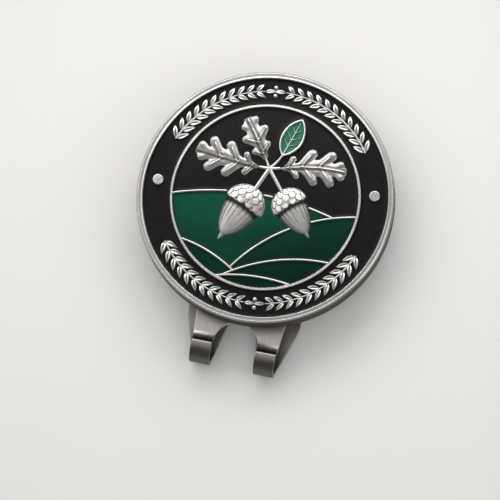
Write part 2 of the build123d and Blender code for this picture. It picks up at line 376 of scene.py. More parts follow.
class Recipe:
    """The nodes of a material or a world. add() makes a node and joins or fills its inputs; the
    methods after it make the nodes used most, and each returns the socket that it ends in."""

    def __init__(self, owner, last="Principled BSDF"):
        owner.use_nodes = True
        self.owner, self.tree = owner, owner.node_tree
        self.last = self.tree.nodes[last]

    def add(self, kind, inputs=(), **settings):
        node = self.tree.nodes.new("ShaderNode" + kind)
        for key, value in settings.items():
            setattr(node, key, value)
        self.fill(node, dict(inputs))
        return node

    def fill(self, node, inputs):
        for key, value in inputs.items():
            if isinstance(value, bpy.types.NodeSocket):
                self.tree.links.new(value, node.inputs[key])
            elif node.inputs[key].type == "RGBA":
                node.inputs[key].default_value = (*value, 1)
            else:
                node.inputs[key].default_value = value

    def place(self, scale=(1, 1, 1), by_surface=False):
        """Object coordinates in metres, or the piece's own flat map, stretched by a scale."""
        source = self.add("TexCoord").outputs["UV" if by_surface else "Object"]
        return self.add("Mapping", {"Vector": source, "Scale": scale}).outputs[0]

    def noise(self, place, scale, detail=2.0, rough=0.5):
        return self.add("TexNoise", {"Vector": place, "Scale": scale, "Detail": detail,
                                     "Roughness": rough}).outputs["Fac"]

    def span(self, value, low, high, to_low=0.0, to_high=1.0):
        return self.add("MapRange", {0: value, 1: low, 2: high, 3: to_low, 4: to_high}).outputs[0]

    def blend(self, factor, first, second, mode="MIX"):
        return self.add("Mix", {0: factor, 6: first, 7: second}, data_type="RGBA",
                        blend_type=mode).outputs[2]

    def ramp(self, value, stops):
        """Greys by stops of (value, level)."""
        node = self.add("ValToRGB", {"Fac": value})
        while len(node.color_ramp.elements) < len(stops):
            node.color_ramp.elements.new(0.5)
        for element, (where, level) in zip(node.color_ramp.elements, stops):
            element.position, element.color = where, (level, level, level, 1)
        return node.outputs["Color"]

    def sum(self, operation, first, second):
        return self.add("Math", {0: first, 1: second}, operation=operation).outputs[0]

    def mark(self, name):
        return self.add("Attribute", attribute_name=name).outputs["Fac"]

    def bump(self, height, distance, strength, under=None):
        node = self.add("Bump", {"Height": height, "Distance": distance, "Strength": strength})
        if under is not None:
            self.fill(node, {"Normal": under})
        return node.outputs[0]

    def done(self, **inputs):
        self.fill(self.last, {key.replace("_", " "): value for key, value in inputs.items()})
        return self.owner


def new_finish(name):
    """The recipe of a new material."""
    return Recipe(bpy.data.materials.new(name))


def struck_nickel(name, dull, bright, dark, matte=0.40, shiny=0.17, grain=1.0):
    """Nickel over a struck disc: sand-matte where flat, polished where proud, painted shade where
    deep.
    """
    mix = new_finish(name)
    here = mix.place()
    polish_and_painted_light, painted_shade = mix.mark("polish_and_painted_light"), mix.mark("painted_shade")
    cloud = mix.noise(here, 260.0, 3.0)
    grit = mix.noise(here, 14000.0, 2.0, 0.6)
    colour = mix.blend(polish_and_painted_light, dull, bright)
    tone = mix.span(cloud, 0.3, 0.7, 0.90, 1.06)
    colour = mix.blend(1.0, colour, mix.add("CombineColor", {0: tone, 1: tone, 2: tone})
                       .outputs[0], "MULTIPLY")
    # the painted-shade mark darkens the colour towards the dark colour
    colour = mix.blend(painted_shade, colour, dark)
    level = mix.sum("ADD", mix.span(polish_and_painted_light, 0.0, 1.0, matte, shiny),
                    mix.sum("MULTIPLY", painted_shade, 0.25))
    wear = mix.span(mix.noise(here, 1900.0, 4.0, 0.65), 0.35, 0.7, -0.05, 0.07)
    return mix.done(
        Base_Color=colour,
        Metallic=1.0,
        Roughness=mix.sum("ADD", level, wear),
        Normal=mix.bump(grit, 0.000012 * grain, 0.55),
    )


def poured_enamel(name, deep, pale, gloss, sheen=0.24):
    """Enamel poured into a cell and ground smooth: pigment that drifts a little in tone, painted
    light that makes a cell paler towards its top, a soft gloss, a faint orange-peel ripple and
    a few pin-prick specks."""
    mix = new_finish(name)
    here = mix.place()
    # the drift adds the mark that carries painted light, rising towards each cell's top
    drift = mix.sum("ADD", mix.span(mix.noise(here, 150.0, 2.0), 0.32, 0.68, -0.25, 0.25),
                    mix.mark("polish_and_painted_light"))
    speck = mix.span(mix.noise(here, 9000.0, 1.0), 0.74, 0.80)
    colour = mix.blend(drift, deep, pale)
    colour = mix.blend(mix.sum("MULTIPLY", speck, 0.12), colour, (0.06, 0.06, 0.06))
    smear = mix.span(mix.noise(here, 700.0, 4.0, 0.6), 0.3, 0.7, gloss - 0.05, gloss + 0.07)
    ripple = mix.bump(mix.noise(here, 1500.0, 1.0), 0.00002, 0.35)
    return mix.done(Base_Color=colour, Roughness=smear, Normal=ripple, Specular_IOR_Level=sheen)


def brushed_steel(name):
    """Spring steel brushed along the strip: long fine scratches in tone, gloss and relief."""
    mix = new_finish(name)
    streaks = mix.noise(mix.place((17, 0.45, 1), True), 5.0, 7.0, 0.72)
    fine = mix.noise(mix.place((140, 2.4, 1), True), 5.0, 4.0, 0.6)
    smudge = mix.noise(mix.place(), 330.0, 3.0)
    colour = mix.blend(mix.span(streaks, 0.3, 0.7), (0.59, 0.570, 0.539),
                       (0.86, 0.832, 0.788))
    # painted shade and painted reflection: the painted-shade mark darkens the steel over the crest
    # and round the curl
    colour = mix.blend(mix.mark("painted_shade"), colour, (0.062, 0.058, 0.049))
    rough = mix.sum("ADD", mix.span(fine, 0.25, 0.75, 0.25, 0.36),
                    mix.span(smudge, 0.3, 0.75, -0.01, 0.02))
    rough = mix.sum("SUBTRACT", rough, mix.sum("MULTIPLY", mix.mark("polish_and_painted_light"), 0.12))
    broad = mix.bump(streaks, 0.000006, 0.4)
    return mix.done(Base_Color=colour, Metallic=1.0, Roughness=rough,
                    Normal=mix.bump(fine, 0.000006, 0.4, under=broad))


def plated_magnet(name):
    """Bright nickel on the magnet, with the fine round scuffs that the marker leaves."""
    mix = new_finish(name)
    rings = mix.noise(mix.place((0.6, 260, 1), True), 6.0, 4.0, 0.6)
    cloud = mix.noise(mix.place(), 500.0, 3.0)
    colour = mix.blend(mix.span(cloud, 0.3, 0.7), (0.55, 0.54, 0.52), (0.66, 0.65, 0.63))
    return mix.done(Base_Color=colour, Metallic=1.0,
                    Roughness=mix.span(rings, 0.3, 0.7, 0.13, 0.26),
                    Normal=mix.bump(rings, 0.000006, 0.5))


def set_resin(name):
    """Grey-brown adhesive, set with a slightly wavy skin."""
    mix = new_finish(name)
    here = mix.place()
    colour = mix.blend(mix.noise(here, 900.0, 3.0), (0.09, 0.08, 0.065), (0.16, 0.145, 0.12))
    return mix.done(Base_Color=colour, Roughness=mix.span(mix.noise(here, 1200.0), 0, 1, 0.3, 0.5),
                    Normal=mix.bump(mix.noise(here, 1600.0), 0.00004, 0.5))


# the last colour of each nickel is the colour of its painted shade
nickel = struck_nickel("struck_nickel", (0.34, 0.332, 0.318), (0.84, 0.825, 0.795),
                       (0.045, 0.041, 0.035))
carved = struck_nickel("carved_nickel", (0.36, 0.352, 0.337), (0.76, 0.745, 0.715),
                       (0.035, 0.032, 0.027), 0.38, 0.20, 1.2)
black = poured_enamel("black_enamel", (0.0050, 0.0050, 0.0051), (0.0078, 0.0078, 0.0078),
                      0.30, 0.14)
GREENS = {                   # each mound's pigment where it is deep, at the foot of its cell, and where painted light makes it pale, at the top; the lower, nearer mounds are set darker, which is partly painted shade
    "far": ((0.003, 0.036, 0.020), (0.004, 0.070, 0.040)),
    "right": ((0.002, 0.018, 0.012), (0.002, 0.034, 0.022)),
    "left": ((0.001, 0.017, 0.010), (0.002, 0.031, 0.019)),
    "fore": ((0.001, 0.013, 0.008), (0.002, 0.025, 0.015)),
    "near": ((0.001, 0.013, 0.008), (0.001, 0.022, 0.013)),
}
dark_greens = {which + "_mound": poured_enamel("green_enamel_" + which, *pigment, 0.28, 0.055)
               for which, pigment in GREENS.items()}
bright_green = poured_enamel("bright_green_enamel", (0.012, 0.17, 0.080),
                             (0.022, 0.23, 0.11), 0.24)
steel = brushed_steel("brushed_spring_steel")
plated = plated_magnet("plated_magnet")
resin = set_resin("set_resin")


# ======== Marker: disc, rim, ring, studs and raised lines ========

MILLED = 250                 # slanting cuts round the rim
MILL_COLUMNS = 6 * MILLED


def milling(low, high, depth, turns):
    """Slanting cuts across a flat ring: a cosine in angle and radius, fading at both edges."""
    def carve(r, z, angle):
        share = clamp((r - low) / (high - low))
        on_top = (z > THICK - 1e-6) & (r > low) & (r < high)
        fade = np.sin(pi * share) ** 0.5
        wave = np.cos(MILLED * angle + 2 * pi * turns * share)
        return np.where(on_top, -depth * fade * (0.55 + 0.45 * wave), 0.0)
    return carve


def with_steps(profile, low, high, count):
    """The same profile with extra points on the flat top between two radii."""
    out = [profile[0]]
    for a, b in zip(profile[:-1], profile[1:]):
        flat_top = abs(a[1] - THICK) < 1e-9 and abs(b[1] - THICK) < 1e-9
        if flat_top and abs(a[0] - b[0]) > (high - low) / 2:
            for share in np.linspace(0, 1, count + 2)[1:-1]:
                out.append(a + (b - a) * share)
        out.append(b)
    return np.array(out)


def marker_disc():
    """The disc: flat back, bevelled edge, wall with a fine step under the rim, milled rim, and
    the floor that the enamel lies on."""
    back, face, step = 0.35, 0.21, 0.08         # bevels of back and face, depth of the step
    profile = rounded([
        (0, 0, 0), (RIM_OUT - back, 0, 0.12), (RIM_OUT, back, 0.12),
        (RIM_OUT, 3.10, 0.03), (RIM_OUT - step, 3.14, 0), (RIM_OUT - step, 3.20, 0),
        (RIM_OUT, 3.235, 0.02), (RIM_OUT, THICK - face, 0.05), (RIM_OUT - face, THICK, 0.07),
        (RIM_IN + EDGE, THICK, 0.05), (RIM_IN, THICK - EDGE, 0.05), (RIM_IN, FLOOR, 0),
        (0, FLOOR, 0),
    ], 3)
    profile = with_steps(profile, RIM_IN + EDGE, RIM_OUT - face, 13)
    r, z = profile.T
    polish_and_painted_light = np.where((z > 3.22) & (r > RIM_IN - 0.01), 1.0, 0.25)
    polish_and_painted_light[(z > THICK - 1e-6) & (r > MILL_IN + 0.03) & (r < MILL_OUT - 0.03)] = 0.0
    # painted shade, in turn: on the wall, in its step, a painted shadow along the rim's outer
    # edge, and on the wall inside the rim
    painted_shade = np.where((r > MILL_OUT) & (z > 0.02) & (z < 3.235), 0.93, 0.0)
    painted_shade[(r > 18.91) & (r < 18.94) & (z > 3.1)] = 1.0
    painted_shade[(r > 18.85) & (z > 3.225)] = 0.6
    painted_shade[(r < RIM_IN + 0.01) & (z > FLOOR - 0.1) & (z < 3.3)] = 1.0
    return turned(profile, MILL_COLUMNS, False, milling(MILL_IN, MILL_OUT, 0.045, 1.2), polish_and_painted_light,
                  painted_shade)


def inner_ring():
    """The narrow struck ring between band and field, milled more finely."""
    low, high = FIELD + EDGE, RING_OUT - EDGE
    profile = rounded([
        (FIELD, ROOT, 0), (FIELD, THICK - EDGE, 0.05), (low, THICK, 0.05), (high, THICK, 0.05),
        (RING_OUT, THICK - EDGE, 0.05), (RING_OUT, ROOT, 0),
    ], 3)
    profile = with_steps(profile, low, high, 5)
    r, z = profile.T
    polish_and_painted_light = np.where(z > 3.3, 1.0, 0.0)
    polish_and_painted_light[(z > THICK - 1e-6) & (r > 13.80) & (r < 13.95)] = 0.6
    carve = milling(low + 0.025, high - 0.025, 0.014, 0.6)
    # the ring's sides below DARK_BELOW take painted shade
    return turned(profile, MILL_COLUMNS, True, carve, polish_and_painted_light,
                  np.where(z < DARK_BELOW, 1.0, 0.0))


def studs():
    """Two studs in the band: flat tops with a soft round edge."""
    profile = rounded([(0.8, ROOT, 0), (0.8, 3.43, 0.10), (0.0, 3.435, 0)], 5)
    profile = np.vstack([[0, ROOT], profile])
    r, z = profile.T
    polish_and_painted_light = np.where((z > DARK_BELOW) & (r > 0.68), 1.0, 0.0)
    # the stud's side below DARK_BELOW takes painted shade
    stud = turned(profile, 64, False, None, polish_and_painted_light, np.where(z < DARK_BELOW, 1.0, 0.0))
    return [moved(stud, 0, (*STUD_CIRCLE * ray(bearing), 0))
            for bearing in (STUD_BEARING, pi - STUD_BEARING)]


def inside_loop(points, loop):
    """Which points lie inside a closed outline, by counting crossings."""
    a, b = loop, np.roll(loop, -1, 0)
    x, y = points[:, :1], points[:, 1:]
    spans = (a[:, 1] > y) != (b[:, 1] > y)
    slope = (b[:, 0] - a[:, 0]) / np.where(b[:, 1] == a[:, 1], 1, b[:, 1] - a[:, 1])
    crossing = a[:, 0] + (y - a[:, 1]) * slope
    return (np.sum(spans & (x < crossing), 1) % 2).astype(bool)


def mound_circle(name):
    """Centre and radius of a mound's disc in the marker's plane."""
    across, height, radius = MOUNDS[name]
    return np.array([across, height - FIELD - radius]), radius


def off_mound(name, points):
    """How far points lie outside a mound's disc."""
    centre, radius = mound_circle(name)
    return np.hypot(*np.moveaxis(points - centre, -1, 0)) - radius


def nearer(name):
    """The mounds in front of this one."""
    order = list(MOUNDS)
    return order[order.index(name) + 1:]


def raised_lines(carvings):
    """Each mound's skyline as a bead on its circle, where the field shows it and no nearer
    mound or carving hides it."""
    out, count = [], 9000
    angle = np.linspace(0, pi, count + 1)
    for name in MOUNDS:
        centre, radius = mound_circle(name)
        points = centre + radius * ray(angle)
        seen = np.hypot(*points.T) < FIELD + 0.12
        for other in nearer(name):
            seen &= off_mound(other, points) > -0.05
        for carving in carvings:
            seen &= ~inside_loop(points, carving["outline"])
        runs = np.flatnonzero(np.diff(np.r_[0, seen.astype(int), 0]))
        for first, last in zip(runs[::2], runs[1::2]):
            path = points[first:last]
            if len(path) < 8:
                continue
            steps = max(6, int(radius * (last - first) * pi / count / 0.22))
            keep = np.linspace(0, len(path) - 1, steps).astype(int)
            out.append(bead(path[keep], LINE_WIDE, LINE_TOP))
    return out


# ======== Marker: enamel ========

# the leaf cell's blade lies between two arcs, worked out from their chord and their rise
leaf_radius = ((LEAF_LONG / 2) ** 2 + (LEAF_WIDE / 2) ** 2) / LEAF_WIDE
leaf_drop = leaf_radius - LEAF_WIDE / 2
leaf_axes = np.array([ray(LEAF_TIP - LEAF_LEAN), left_of(ray(LEAF_TIP - LEAF_LEAN))])
leaf_tip = (FIELD - LEAF_INSET) * ray(LEAF_TIP)


def leaf_cell_place(local):
    """From the leaf cell's own plane, tip at the origin and blade towards -x, to the marker's."""
    return local @ leaf_axes + leaf_tip


def leaf_outline(samples):
    """The blade's outline, anticlockwise from its base, with its outward directions; at each
    point of the blade the direction swings round in a fan."""
    half = np.arcsin(LEAF_LONG / 2 / leaf_radius)
    out = ray(np.linspace(-half, half, samples) - pi / 2)
    lower = leaf_radius * out + [0, leaf_drop]
    fan = ray(np.linspace(-1, 1, 9)[1:-1] * (pi / 2 - half))
    tip = np.repeat(lower[-1:], len(fan), 0)
    points = np.vstack([lower, tip, -lower, -tip]) - [LEAF_LONG / 2, 0]
    return points, np.vstack([out, fan, -out, -fan])


def leaf_wall():
    """The raised line round the leaf cell: a low arch from the blade's edge outwards."""
    points, outward = leaf_outline(60)
    across, rise = arched()
    reach = (1 - across) / 2 * LINE_WIDE
    height = LINE_TOP - LINE_ARCH + LINE_ARCH * rise
    height[0] = height[-1] = ROOT
    flat = points[:, None, :] + outward[:, None, :] * reach[None, :, None]
    flat = leaf_cell_place(flat.reshape(-1, 2)).reshape(len(points), len(reach), 2)
    solid = np.dstack([flat, np.broadcast_to(height, flat.shape[:2])])
    # the arch's top is polished; below DARK_BELOW its sides take painted shade
    shine = np.broadcast_to(clamp((height - DARK_BELOW) / 0.12), flat.shape[:2])
    return skin(solid, grid_faces(*flat.shape[:2], True, True), None, shine, 1 - shine)


def blade_distance(points):
    """Distance inside the blade's outline, in millimetres; less than nothing outside."""
    local = (points - leaf_tip) @ leaf_axes.T + [LEAF_LONG / 2, 0]
    return leaf_radius - np.hypot(local[..., 0], np.abs(local[..., 1]) + leaf_drop)


def dished(distance):
    """Enamel height from the distance to the nearest wall: level, with a rise at the wall."""
    return FILL - 0.04 + 0.13 * np.exp(-np.maximum(distance, 0) / 0.13)


def crown(name, x, growth):
    """Height of a mound's circle, grown a little, over each x; far below where there is none."""
    centre, radius = mound_circle(name)
    square = (radius + growth) ** 2 - (x - centre[0]) ** 2
    return np.where(square > 0, centre[1] + np.sqrt(np.maximum(square, 0)), -99.0)


def cell_fill(own):
    """Enamel in the sky (own is None) or a mound: columns across, from the nearest line in
    front up to the cell's own skyline, both kept inside the field; spacing tight at walls."""
    edge = FIELD - CLEAR
    gap = LINE_WIDE / 2 + CLEAR
    front = list(MOUNDS) if own is None else nearer(own)

    def limits(x):
        """The cell's lowest and highest points over each x."""
        high = np.sqrt(np.maximum(edge ** 2 - x ** 2, 0))
        low = -high
        if own is not None:
            high = np.minimum(high, crown(own, x, -gap))
        for name in front:
            low = np.maximum(low, crown(name, x, gap))
        return low, high

    probe = np.linspace(-edge, edge, 20001)
    low, high = limits(probe)
    open_places = probe[high - low > 1e-4]
    x0, x1 = open_places[0], open_places[-1]
    x = (x0 + x1) / 2 + (x1 - x0) / 2 * np.sin(np.linspace(-pi / 2, pi / 2, 150))
    low, high = limits(x)
    high = np.maximum(high, low)
    share = eased(56)
    y = low[None, :] + (high - low)[None, :] * share[:, None]
    flat = np.dstack([np.broadcast_to(x, y.shape), y])
    distance = edge - np.hypot(flat[..., 0], flat[..., 1])
    if own is not None:
        distance = np.minimum(distance, -off_mound(own, flat) - gap)
    for name in front:
        distance = np.minimum(distance, off_mound(name, flat) - gap)
    height = dished(distance)
    if own is None:
        outside = -blade_distance(flat) - LINE_WIDE
        height = np.where(outside > -0.1, dished(np.minimum(distance, outside)), FLOOR + 0.1)
    # painted light: the third argument rises from 0.05 at the foot of each column to 0.95 at its
    # top, so the enamel is paler towards the cell's top
    return relief(np.dstack([flat, height]), FILL_BASE, share[:, None] * 0.9 + 0.05)


def band_fill():
    """Enamel in the band: a ring whose section is dished between its two walls."""
    r = RING_OUT + CLEAR + (RIM_IN - RING_OUT - 2 * CLEAR) * eased(28)
    section = np.stack([r, dished(np.minimum(r - r[0], r[-1] - r))], -1)
    return turned(np.vstack([[r[0], FILL_BASE], section, [r[-1], FILL_BASE]]), 360, True)


def leaf_fill():
    """Enamel in the leaf cell: along the blade by across it, dished like the rest."""
    rows, cols = 70, 30
    along = LEAF_LONG * (eased(rows) - 0.5)
    half = np.sqrt(np.maximum(leaf_radius ** 2 - along ** 2, 0)) - leaf_drop - CLEAR
    across = np.sin(np.linspace(-pi / 2, pi / 2, cols))
    local = np.dstack([np.broadcast_to(along[:, None], (rows, cols)),
                       np.maximum(half, 0)[:, None] * across])
    flat = leaf_cell_place(local - [LEAF_LONG / 2, 0])
    return relief(np.dstack([flat, dished(blade_distance(flat)) + 0.03]), FILL_BASE)


# ======== Marker: carved oak sprig and laurel ========

def stem_line(start, bearing, length, bend, count):
    """Points and headings along a stem that turns evenly from its first bearing."""
    share = np.linspace(0, 1, count)
    heading = bearing + bend * share
    step = length / (count - 1)
    middle = (heading[1:] + heading[:-1]) / 2
    walk = np.cumsum(ray(middle) * step, 0)
    return np.vstack([[0, 0], walk]) + start, heading


# an oak leaf's lobes: foot along the midrib, reach, heading, half width at foot and end
BIG_LEAF = (
    (1.5, 1.45, 54, 0.36, 0.52), (3.6, 2.40, 54, 0.80, 0.74), (6.1, 2.45, 50, 0.84, 0.76),
    (8.3, 1.10, 40, 0.70, 0.68),
)
SMALL_LEAF = (
    (1.4, 1.15, 52, 0.32, 0.46), (3.1, 1.75, 50, 0.60, 0.60), (5.1, 1.10, 42, 0.56, 0.56),
)


def oak_leaf(start, bearing, length, lobes, bend, size=1.0):
    """A lobed oak leaf: the union of a tapered midrib and round-ended lobes swept forward, with
    round sinuses between them. Its surface is a cushion on each lobe, folded low along the
    midrib, with raised veins and a rolled edge; a band of painted shade runs beside each vein."""
    rows = 120
    line, heading = stem_line(np.array(start, float), bearing, length, bend, rows)
    thick, tip = 1.25 * size, 0.80 * size
    bars = [((0.0, 0.0), (0.58 * length, 0.0), 0.16 * size, thick),
            ((0.58 * length, 0.0), (length - tip, 0.0), thick, tip)]
    for foot, reach, degrees, wide_foot, wide_end in lobes:
        for side in (1, -1):
            lag = 0.35 * size * (side < 0)
            way = ray(side * radians(degrees))
            first = np.array([foot * size + lag, side * 0.12 * size])
            bars.append((first, first + way * reach * size, wide_foot * size, wide_end * size))

    def distance(u, v):
        """How far inside the leaf's outline: midrib and lobes melted into one."""
        total = to_cone(u, v, *bars[0])[0]
        for bar in bars[1:]:
            total = melted(total, to_cone(u, v, *bar)[0], 0.26 * size)
        return total

    def veins(u, v):
        """Distance off the nearest lobe's vein, growing where the vein runs out."""
        off = np.full(np.shape(u), 9.0)
        for bar in bars[2:-2]:
            _, away, share = to_cone(u, v, *bar)
            off = np.minimum(off, away + 0.6 * clamp(share - 0.75))
        return off

    def shape(u, v, d):
        """Height: a quarter-round edge and a cushion, less the fold, plus midrib and veins."""
        edge = np.sqrt(1 - (1 - clamp(d / 0.16)) ** 2)
        cushion = 0.22 * (1 - np.exp(-(d / (0.42 * size)) ** 1.5))
        fold = 0.13 * bell(np.abs(v), 0.80 * size) * clamp(u / size)
        midrib = bell(v, 0.17 * size)
        vein = bell(veins(u, v), 0.10 * size) * clamp(d / 0.3)
        rise = cushion - fold + 0.17 * midrib + 0.055 * vein
        return np.clip(3.08 + 0.11 * edge + rise, FILL, CARVED_TOP)

    def shine(u, v, d):
        """Polish on the rolled edge, the midrib and the veins."""
        rim = bell(d - 0.11, 0.12)
        return (0.15 + 0.85 * rim + bell(v, 0.15 * size)
                + 0.8 * bell(veins(u, v), 0.09 * size))

    def shade(u, v, d):
        """Painted shade in a band beside each vein and in the hollow beside the midrib."""
        off = veins(u, v)
        beside_vein_shade = bell(off - 0.24 * size, 0.10 * size)
        trough = bell(np.abs(v) - 0.34 * size, 0.13 * size)
        return (0.45 * beside_vein_shade + 0.75 * trough) * clamp(d / 0.2)

    def place(u, v):
        """The spot u along the bent midrib and v square to it."""
        along = clamp(u / length) * (rows - 1)
        spots = np.arange(rows)
        middle = np.stack([np.interp(along, spots, line[:, i]) for i in (0, 1)], -1)
        turn = np.interp(along, spots, heading)
        over = (u - np.clip(u, 0, length))[:, None]
        return middle + over * ray(turn) + v[:, None] * left_of(ray(turn))

    wide = 3.4 * size
    return cut_relief(distance, shape, (-0.4, -wide), (length + 0.6, wide), 0.075 * size, place,
                      shine, shade)


SCALE_ROWS, SCALES_ROUND = 5, 7
# engraved lines of a nut: bearing round it in degrees, and where it stops, 0 to 1
ENGRAVED = ((-62, 0.80), (-44, 0.93), (-27, 0.72), (-9, 0.90), (10, 0.66), (28, 0.86), (45, 0.97),
            (63, 0.78))


def half_turned(line, tangent, along, half, height, polish_and_painted_light, painted_shade):
    """A flattened turned form lying on the field: along its axis by round its upper half."""
    cols = height.shape[1]
    swing = np.linspace(-pi / 2, pi / 2, cols)[None, :]
    flat = (line + tangent * along[:, None, None]
            + left_of(tangent) * (half[:, None] * np.sin(swing))[..., None])
    return relief(np.dstack([flat, height]), ROOT, polish_and_painted_light, painted_shade)


def cup_scales(path, swing):
    """Overlapping scales in rows along an acorn's cup (path, 0 to 1) and round it (swing, in
    radians): each is a tongue with a round end towards the lip, rises to that end and lies
    over the next row. Gives the relief, 0 to 1, and the depth inside the topmost outline."""
    raised, inside = np.zeros((2, *np.broadcast_shapes(path.shape, swing.shape)))
    for row in range(-1, SCALE_ROWS + 1):
        along = (path * SCALE_ROWS - row) / 1.8
        around = swing * SCALES_ROUND / pi + 0.5 * (row % 2)
        off = 2 * (around - np.round(around)) / 1.04
        depth = 1 - off ** 2 - (clamp(along - 0.55) / 0.45) ** 2
        depth = np.where((along > 0) & (along < 1), depth, 0)
        height = (0.25 + 0.75 * along) * np.sqrt(clamp(depth / 0.35))
        height = height * (1 - 0.25 * off ** 2)
        higher = height > raised
        raised, inside = np.where(higher, height, raised), np.where(higher, depth, inside)
    return raised, clamp(inside)


def acorn(start, bearing, size):
    """An acorn: a smooth nut, flattened onto the field, in a cup of overlapping scales."""
    tangent = ray(bearing)
    swing = np.linspace(-pi / 2, pi / 2, 181)[None, :]
    s = np.sin(np.linspace(0, pi / 2, 100))
    widest = 2.08
    nut_half = widest * (1 - s ** 2.3) ** 0.60
    tip = clamp((s - 0.975) / 0.025)
    nut_half = np.maximum(nut_half, 0.27 * np.sqrt(1 - tip ** 2) * (s > 0.9)) * size
    nut_along = (1.2 + 5.15 * s + 0.62 * tip) * size
    swell = np.sqrt(np.maximum(nut_half / size / widest, 0))[:, None]
    dome = np.cos(swing) ** 0.9 * swell
    # engraved lines run down from the cup and fade out before the tip
    engraved = sum(bell(swing - radians(at), 0.022)
                   * clamp((stop - s) * 4)[:, None] for at, stop in ENGRAVED)
    nut_height = 2.94 + 0.50 * dome - 0.04 * engraved
    under_cup = clamp(1.5 - np.abs(nut_along[:, None] / size - 2.35) * 2.2)
    # painted shade: a shadow under the cup's lip, dark in the engraved lines, towards both sides
    # so the flat nut reads round, and towards the tip
    nut_painted_shade = (under_cup + 0.85 * engraved + 0.75 * np.abs(np.sin(swing)) ** 3
                + 0.30 * s[:, None] ** 8)
    nut = half_turned(start, tangent, nut_along, nut_half, nut_height,
                      0.48 * (1 - 0.5 * np.abs(np.sin(swing)) ** 2) * np.ones_like(dome),
                      clamp(nut_painted_shade))
    c = np.linspace(0, 1, 120)
    swing = np.linspace(-pi / 2, pi / 2, 137)[None, :]
    corner = clamp((c - 0.86) / 0.14)
    cup_half = size * (0.32 + 2.10 * (1 - (1 - c) ** 2.3) ** 0.55
                       - 0.30 * (1 - np.sqrt(1 - corner ** 2)))
    lip = clamp((c - 0.95) / 0.05)
    cup_along = (-0.15 + 2.55 * c) * size
    swell = np.sqrt(cup_half / cup_half.max())[:, None]
    dome = np.cos(swing) ** 0.8 * swell
    path = np.concatenate([[0], np.cumsum(np.hypot(np.diff(cup_along), np.diff(cup_half)))])
    scales, inside = cup_scales((path / path[-1])[:, None], swing)
    cup_height = 2.90 + 0.44 * dome + 0.15 * scales * np.cos(swing) ** 0.3
    cup_height = cup_height - 0.08 * lip[:, None] ** 2
    # painted shade: dark along the topmost scale's edge, a painted shadow under the scale above,
    # and towards the cup's sides
    cup_painted_shade = clamp(1 - inside / 0.42) * 0.95 + 0.35 * np.abs(np.sin(swing)) ** 4
    cup = half_turned(start, tangent, cup_along, cup_half, np.minimum(cup_height, CARVED_TOP),
                      np.clip(inside * 1.5 - 0.2, 0, 0.75), clamp(cup_painted_shade))
    return [nut, cup]


def stalk(start, bearing, length, bend, wide_at_start, wide_at_end):
    """A round twig, thinner towards its end."""
    count = 30
    path, _ = stem_line(np.array(start, float), bearing, length, bend, count)
    return bead(path, np.linspace(wide_at_start, wide_at_end, count), LINE_TOP, 0.2)


def bud(place, radius, top):
    """A small round bead of metal."""
    profile = rounded([(radius, ROOT, 0), (radius, top - radius * 0.45, radius * 0.40),
                       (0.0, top, 0)], 4)
    profile = np.vstack([[0, ROOT], profile])
    # the top is polished; below it the bud takes painted shade
    shine = np.where(profile[:, 1] > 3.15, 0.9, 0.0)
    return moved(turned(profile, 32, False, None, shine, 1 - shine), 0, (*place, 0))


NODE = np.array([0.2, 4.3])  # where the sprig's twigs meet


def from_node(bearing, reach):
    """A point at a bearing in degrees and a reach from the sprig's node."""
    return NODE + reach * ray(radians(bearing))


def oak_twigs():
    """The twigs from the node to three leaves, the leaf cell and two acorns."""
    leaf_base = leaf_cell_place(np.array([[-LEAF_LONG - 0.2, 0.0]]))[0] - NODE
    to_leaf = np.arctan2(leaf_base[1], leaf_base[0])
    twigs = (                  # bearing, length, bend, width at the node and at the end
        (radians(172), 1.5, 0.05, 0.70, 0.50), (radians(4), 1.6, 0.1, 0.70, 0.50),
        (radians(112), 1.5, 0.05, 0.58, 0.42),
        (to_leaf - 0.16, np.hypot(*leaf_base) * 1.01, 0.32, 0.58, 0.34),
        (radians(-119), 3.8, 0.0, 0.74, 0.70), (radians(-57), 4.0, 0.0, 0.70, 0.62),
    )
    return [stalk(NODE, *twig) for twig in twigs] + [bud(NODE, 0.70, 3.47)]


def oak_leaves():
    """Two long leaves to the node's left and right, and a small one above it."""
    return [oak_leaf(from_node(172, 1.1), radians(171), 10.3, BIG_LEAF, -0.10),
            oak_leaf(from_node(5, 1.2), radians(12), 10.3, BIG_LEAF, -0.38),
            oak_leaf(from_node(112, 1.0), radians(116), 7.6, SMALL_LEAF, 0.10, 1.08)]


def acorns():
    """Two acorns that hang below the node, one to each side."""
    return (acorn(from_node(-119, 3.6), radians(-121), 1.34)
            + acorn(from_node(-57, 3.8), radians(-55), 1.18))


def cell_veins():
    """Fine raised veins in the leaf cell: a midrib and three pairs of side veins."""
    long_count, side_count = 30, 10
    along = np.linspace(-LEAF_LONG + 0.05, -0.35, long_count)
    middle = leaf_cell_place(np.stack([along, np.zeros(long_count)], -1))
    out = [bead(middle, np.linspace(0.26, 0.12, long_count), 3.30, 0.1)]
    for foot in (-4.3, -3.2, -2.1):
        for side in (1, -1):
            far = foot + 0.95
            limit = np.sqrt(leaf_radius ** 2 - (far + LEAF_LONG / 2) ** 2) - leaf_drop
            share = np.linspace(0, 1, side_count)
            local = np.stack([foot + (far - foot) * share,
                              side * (limit - 0.12) * share ** 1.15], -1)
            out.append(bead(leaf_cell_place(local), np.linspace(0.15, 0.08, side_count), 3.26,
                            0.08))
    return out


